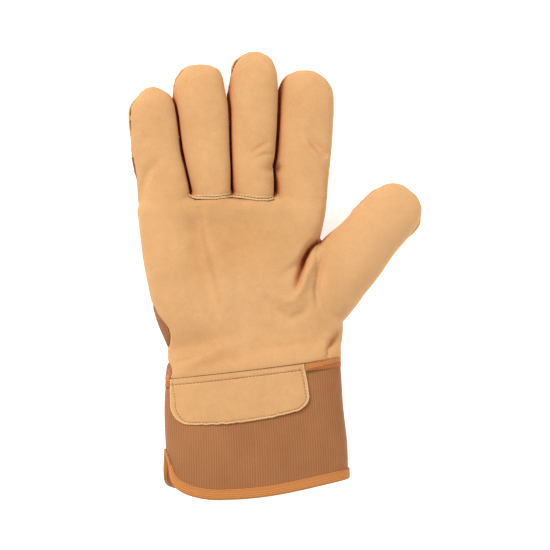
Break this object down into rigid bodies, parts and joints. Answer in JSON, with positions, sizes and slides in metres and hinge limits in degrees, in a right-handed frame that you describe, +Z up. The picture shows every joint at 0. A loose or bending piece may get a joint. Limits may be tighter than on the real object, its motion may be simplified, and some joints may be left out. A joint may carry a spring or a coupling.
{
  "type": "safety cuff work glove",
  "caption": "Right-hand work glove of leather and canvas: gunn-cut palm, welted finger base, and a stiff canvas safety cuff with bound edge, slit side and a leather pulse patch.",
  "frame": {"origin": "on the surface that the glove lies on, under the middle of its outline", "axes": "+Z up out of the palm, +Y towards the fingertips, +X towards the thumb"},
  "size_m": [0.1821, 0.2811, 0.0418],
  "materials": {
    "leather": "tan suede, matte",
    "canvas": "brown duck canvas, matte",
    "binding_tape": "ribbed orange-tan tape",
    "thread": "dark brown sewing thread"
  },
  "bodies": {
    "root": {"palm_panel": "leather", "ring_finger_front": "leather", "middle_finger_front": "leather", "finger_base_welt": "leather", "index_finger_back": "leather", "thumb_back": "leather", "little_fingertip": "leather", "ring_fingertip": "leather", "middle_fingertip": "leather", "pulse_patch": "leather", "back_panel": "canvas", "cuff": "canvas", "cuff_binding": "binding_tape", "wrist_tape": "binding_tape"}
  },
  "joints": []
}
